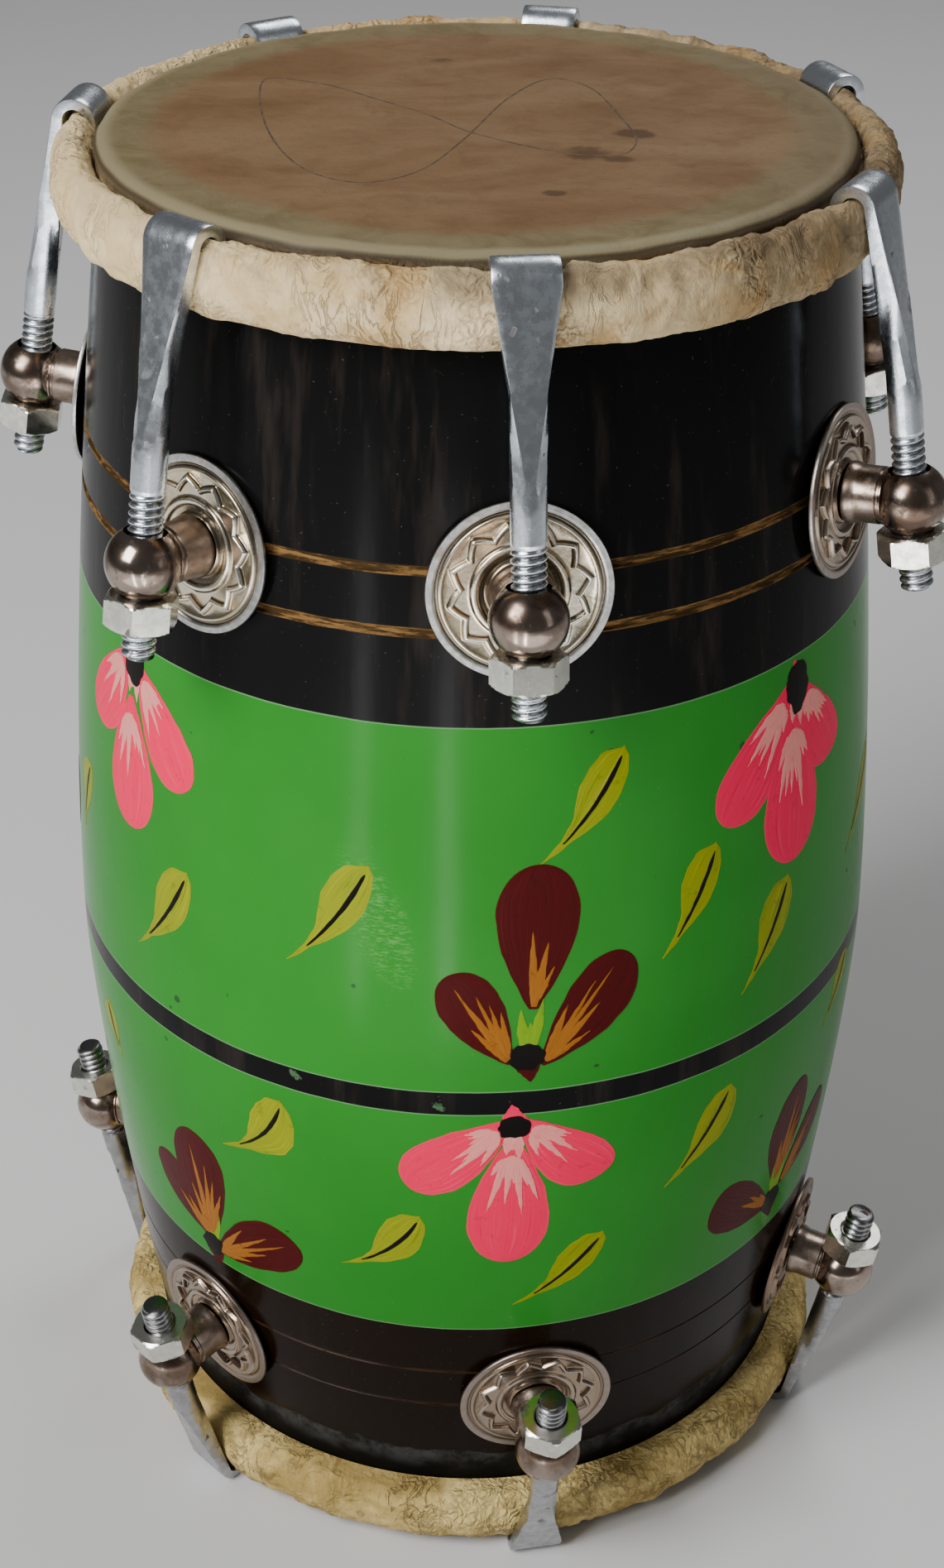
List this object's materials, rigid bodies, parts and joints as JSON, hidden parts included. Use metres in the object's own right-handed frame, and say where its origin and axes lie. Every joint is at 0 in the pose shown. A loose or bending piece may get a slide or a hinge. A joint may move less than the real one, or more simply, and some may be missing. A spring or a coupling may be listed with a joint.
{
  "type": "dholak",
  "caption": "Two-headed wooden barrel hand drum with rawhide heads, tuned by hooks and nuts through ball eye bolts.",
  "frame": {"origin": "centre of the bottom head's outer face, on the barrel's axis", "axes": "+Z along the barrel from the bottom (bass) head to the top (treble) head, -Y towards the front seen in the picture"},
  "size_m": [0.2915, 0.3006, 0.4524],
  "materials": {
    "painted_barrel": "gloss lacquer, green and black bands with painted flowers",
    "treble_skin": "rawhide, matte, tan",
    "bass_skin": "rawhide, matte, cream",
    "rosette_nickel": "pressed sheet, nickel plated",
    "eyebolt_nickel": "dark nickel plate, polished",
    "hook_zinc": "zinc plated, drawn and ground",
    "nut_zinc": "zinc plated"
  },
  "bodies": {
    "root": {"shell": "painted_barrel", "top_head": "treble_skin", "top_plate_1": "rosette_nickel", "top_eyebolt_1": "eyebolt_nickel", "top_plate_2": "rosette_nickel", "top_eyebolt_2": "eyebolt_nickel", "top_plate_3": "rosette_nickel", "top_eyebolt_3": "eyebolt_nickel", "top_plate_4": "rosette_nickel", "top_eyebolt_4": "eyebolt_nickel", "top_plate_5": "rosette_nickel", "top_eyebolt_5": "eyebolt_nickel", "top_plate_6": "rosette_nickel", "top_eyebolt_6": "eyebolt_nickel", "top_plate_7": "rosette_nickel", "top_eyebolt_7": "eyebolt_nickel", "bottom_head": "bass_skin", "bottom_plate_1": "rosette_nickel", "bottom_eyebolt_1": "eyebolt_nickel", "bottom_plate_2": "rosette_nickel", "bottom_eyebolt_2": "eyebolt_nickel", "bottom_plate_3": "rosette_nickel", "bottom_eyebolt_3": "eyebolt_nickel", "bottom_plate_4": "rosette_nickel", "bottom_eyebolt_4": "eyebolt_nickel", "bottom_plate_5": "rosette_nickel", "bottom_eyebolt_5": "eyebolt_nickel", "bottom_plate_6": "rosette_nickel", "bottom_eyebolt_6": "eyebolt_nickel", "bottom_plate_7": "rosette_nickel", "bottom_eyebolt_7": "eyebolt_nickel"},
    "top_hook_1": {"top_hook_1": "hook_zinc"},
    "top_nut_1": {"top_nut_1": "nut_zinc"},
    "top_hook_2": {"top_hook_2": "hook_zinc"},
    "top_nut_2": {"top_nut_2": "nut_zinc"},
    "top_hook_3": {"top_hook_3": "hook_zinc"},
    "top_nut_3": {"top_nut_3": "nut_zinc"},
    "top_hook_4": {"top_hook_4": "hook_zinc"},
    "top_nut_4": {"top_nut_4": "nut_zinc"},
    "top_hook_5": {"top_hook_5": "hook_zinc"},
    "top_nut_5": {"top_nut_5": "nut_zinc"},
    "top_hook_6": {"top_hook_6": "hook_zinc"},
    "top_nut_6": {"top_nut_6": "nut_zinc"},
    "top_hook_7": {"top_hook_7": "hook_zinc"},
    "top_nut_7": {"top_nut_7": "nut_zinc"},
    "bottom_hook_1": {"bottom_hook_1": "hook_zinc"},
    "bottom_nut_1": {"bottom_nut_1": "nut_zinc"},
    "bottom_hook_2": {"bottom_hook_2": "hook_zinc"},
    "bottom_nut_2": {"bottom_nut_2": "nut_zinc"},
    "bottom_hook_3": {"bottom_hook_3": "hook_zinc"},
    "bottom_nut_3": {"bottom_nut_3": "nut_zinc"},
    "bottom_hook_4": {"bottom_hook_4": "hook_zinc"},
    "bottom_nut_4": {"bottom_nut_4": "nut_zinc"},
    "bottom_hook_5": {"bottom_hook_5": "hook_zinc"},
    "bottom_nut_5": {"bottom_nut_5": "nut_zinc"},
    "bottom_hook_6": {"bottom_hook_6": "hook_zinc"},
    "bottom_nut_6": {"bottom_nut_6": "nut_zinc"},
    "bottom_hook_7": {"bottom_hook_7": "hook_zinc"},
    "bottom_nut_7": {"bottom_nut_7": "nut_zinc"}
  },
  "joints": [
    {"name": "top_nut_1_turn", "type": "hinge", "parent": "root", "child": "top_nut_1", "pos_m": [0.01203, -0.13752, 0.36188], "axis": [0.0148, -0.1688, -0.9855], "range_deg": [0, 1440]},
    {"name": "top_hook_1_slide", "type": "slide", "parent": "root", "child": "top_hook_1", "axis": [-0.0148, 0.1688, 0.9855], "range_m": [0, 0.00924]},
    {"name": "top_nut_2_turn", "type": "hinge", "parent": "root", "child": "top_nut_2", "pos_m": [0.12074, -0.06693, 0.36188], "axis": [0.1482, -0.0822, -0.9855], "range_deg": [0, 1440]},
    {"name": "top_hook_2_slide", "type": "slide", "parent": "root", "child": "top_hook_2", "axis": [-0.1482, 0.0822, 0.9855], "range_m": [0, 0.00924]},
    {"name": "top_nut_3_turn", "type": "hinge", "parent": "root", "child": "top_nut_3", "pos_m": [0.12707, 0.05394, 0.36188], "axis": [0.156, 0.0662, -0.9855], "range_deg": [0, 1440]},
    {"name": "top_hook_3_slide", "type": "slide", "parent": "root", "child": "top_hook_3", "axis": [-0.156, -0.0662, 0.9855], "range_m": [0, 0.00924]},
    {"name": "top_nut_4_turn", "type": "hinge", "parent": "root", "child": "top_nut_4", "pos_m": [0.02988, 0.13478, 0.36188], "axis": [0.0367, 0.1655, -0.9855], "range_deg": [0, 1440]},
    {"name": "top_hook_4_slide", "type": "slide", "parent": "root", "child": "top_hook_4", "axis": [-0.0367, -0.1655, 0.9855], "range_m": [0, 0.00924]},
    {"name": "top_nut_5_turn", "type": "hinge", "parent": "root", "child": "top_nut_5", "pos_m": [-0.07619, 0.11512, 0.36188], "axis": [-0.0935, 0.1413, -0.9855], "range_deg": [0, 1440]},
    {"name": "top_hook_5_slide", "type": "slide", "parent": "root", "child": "top_hook_5", "axis": [0.0935, -0.1413, 0.9855], "range_m": [0, 0.00924]},
    {"name": "top_nut_6_turn", "type": "hinge", "parent": "root", "child": "top_nut_6", "pos_m": [-0.13595, 0.02397, 0.36188], "axis": [-0.1669, 0.0294, -0.9855], "range_deg": [0, 1440]},
    {"name": "top_hook_6_slide", "type": "slide", "parent": "root", "child": "top_hook_6", "axis": [0.1669, -0.0294, 0.9855], "range_m": [0, 0.00924]},
    {"name": "top_nut_7_turn", "type": "hinge", "parent": "root", "child": "top_nut_7", "pos_m": [-0.08873, -0.10575, 0.36188], "axis": [-0.1089, -0.1298, -0.9855], "range_deg": [0, 1440]},
    {"name": "top_hook_7_slide", "type": "slide", "parent": "root", "child": "top_hook_7", "axis": [0.1089, 0.1298, 0.9855], "range_m": [0, 0.00924]},
    {"name": "bottom_nut_1_turn", "type": "hinge", "parent": "root", "child": "bottom_nut_1", "pos_m": [0.02334, -0.13946, 0.06256], "axis": [0.0286, -0.1709, 0.9849], "range_deg": [0, 1440]},
    {"name": "bottom_hook_1_slide", "type": "slide", "parent": "root", "child": "bottom_hook_1", "axis": [-0.0286, 0.1709, -0.9849], "range_m": [0, 0.00924]},
    {"name": "bottom_nut_2_turn", "type": "hinge", "parent": "root", "child": "bottom_nut_2", "pos_m": [0.12918, -0.05751, 0.06256], "axis": [0.1583, -0.0705, 0.9849], "range_deg": [0, 1440]},
    {"name": "bottom_hook_2_slide", "type": "slide", "parent": "root", "child": "bottom_hook_2", "axis": [-0.1583, 0.0705, -0.9849], "range_m": [0, 0.00924]},
    {"name": "bottom_nut_3_turn", "type": "hinge", "parent": "root", "child": "bottom_nut_3", "pos_m": [0.12815, 0.05976, 0.06256], "axis": [0.157, 0.0732, 0.9849], "range_deg": [0, 1440]},
    {"name": "bottom_hook_3_slide", "type": "slide", "parent": "root", "child": "bottom_hook_3", "axis": [-0.157, -0.0732, -0.9849], "range_m": [0, 0.00924]},
    {"name": "bottom_nut_4_turn", "type": "hinge", "parent": "root", "child": "bottom_nut_4", "pos_m": [0.03898, 0.13592, 0.06256], "axis": [0.0477, 0.1665, 0.9849], "range_deg": [0, 1440]},
    {"name": "bottom_hook_4_slide", "type": "slide", "parent": "root", "child": "bottom_hook_4", "axis": [-0.0477, -0.1665, -0.9849], "range_m": [0, 0.00924]},
    {"name": "bottom_nut_5_turn", "type": "hinge", "parent": "root", "child": "bottom_nut_5", "pos_m": [-0.07493, 0.11991, 0.06256], "axis": [-0.0918, 0.1469, 0.9849], "range_deg": [0, 1440]},
    {"name": "bottom_hook_5_slide", "type": "slide", "parent": "root", "child": "bottom_hook_5", "axis": [0.0918, -0.1469, -0.9849], "range_m": [0, 0.00924]},
    {"name": "bottom_nut_6_turn", "type": "hinge", "parent": "root", "child": "bottom_nut_6", "pos_m": [-0.13778, 0.03181, 0.06256], "axis": [-0.1688, 0.039, 0.9849], "range_deg": [0, 1440]},
    {"name": "bottom_hook_6_slide", "type": "slide", "parent": "root", "child": "bottom_hook_6", "axis": [0.1688, -0.039, -0.9849], "range_m": [0, 0.00924]},
    {"name": "bottom_nut_7_turn", "type": "hinge", "parent": "root", "child": "bottom_nut_7", "pos_m": [-0.10086, -0.09911, 0.06256], "axis": [-0.1236, -0.1214, 0.9849], "range_deg": [0, 1440]},
    {"name": "bottom_hook_7_slide", "type": "slide", "parent": "root", "child": "bottom_hook_7", "axis": [0.1236, 0.1214, -0.9849], "range_m": [0, 0.00924]}
  ],
  "couplings": [
    {"joint": "top_nut_1_turn", "follows": "top_hook_1_slide", "rad_per_m": 2721.1},
    {"joint": "top_nut_2_turn", "follows": "top_hook_2_slide", "rad_per_m": 2721.1},
    {"joint": "top_nut_3_turn", "follows": "top_hook_3_slide", "rad_per_m": 2721.1},
    {"joint": "top_nut_4_turn", "follows": "top_hook_4_slide", "rad_per_m": 2721.1},
    {"joint": "top_nut_5_turn", "follows": "top_hook_5_slide", "rad_per_m": 2721.1},
    {"joint": "top_nut_6_turn", "follows": "top_hook_6_slide", "rad_per_m": 2721.1},
    {"joint": "top_nut_7_turn", "follows": "top_hook_7_slide", "rad_per_m": 2721.1},
    {"joint": "bottom_nut_1_turn", "follows": "bottom_hook_1_slide", "rad_per_m": 2721.1},
    {"joint": "bottom_nut_2_turn", "follows": "bottom_hook_2_slide", "rad_per_m": 2721.1},
    {"joint": "bottom_nut_3_turn", "follows": "bottom_hook_3_slide", "rad_per_m": 2721.1},
    {"joint": "bottom_nut_4_turn", "follows": "bottom_hook_4_slide", "rad_per_m": 2721.1},
    {"joint": "bottom_nut_5_turn", "follows": "bottom_hook_5_slide", "rad_per_m": 2721.1},
    {"joint": "bottom_nut_6_turn", "follows": "bottom_hook_6_slide", "rad_per_m": 2721.1},
    {"joint": "bottom_nut_7_turn", "follows": "bottom_hook_7_slide", "rad_per_m": 2721.1}
  ]
}
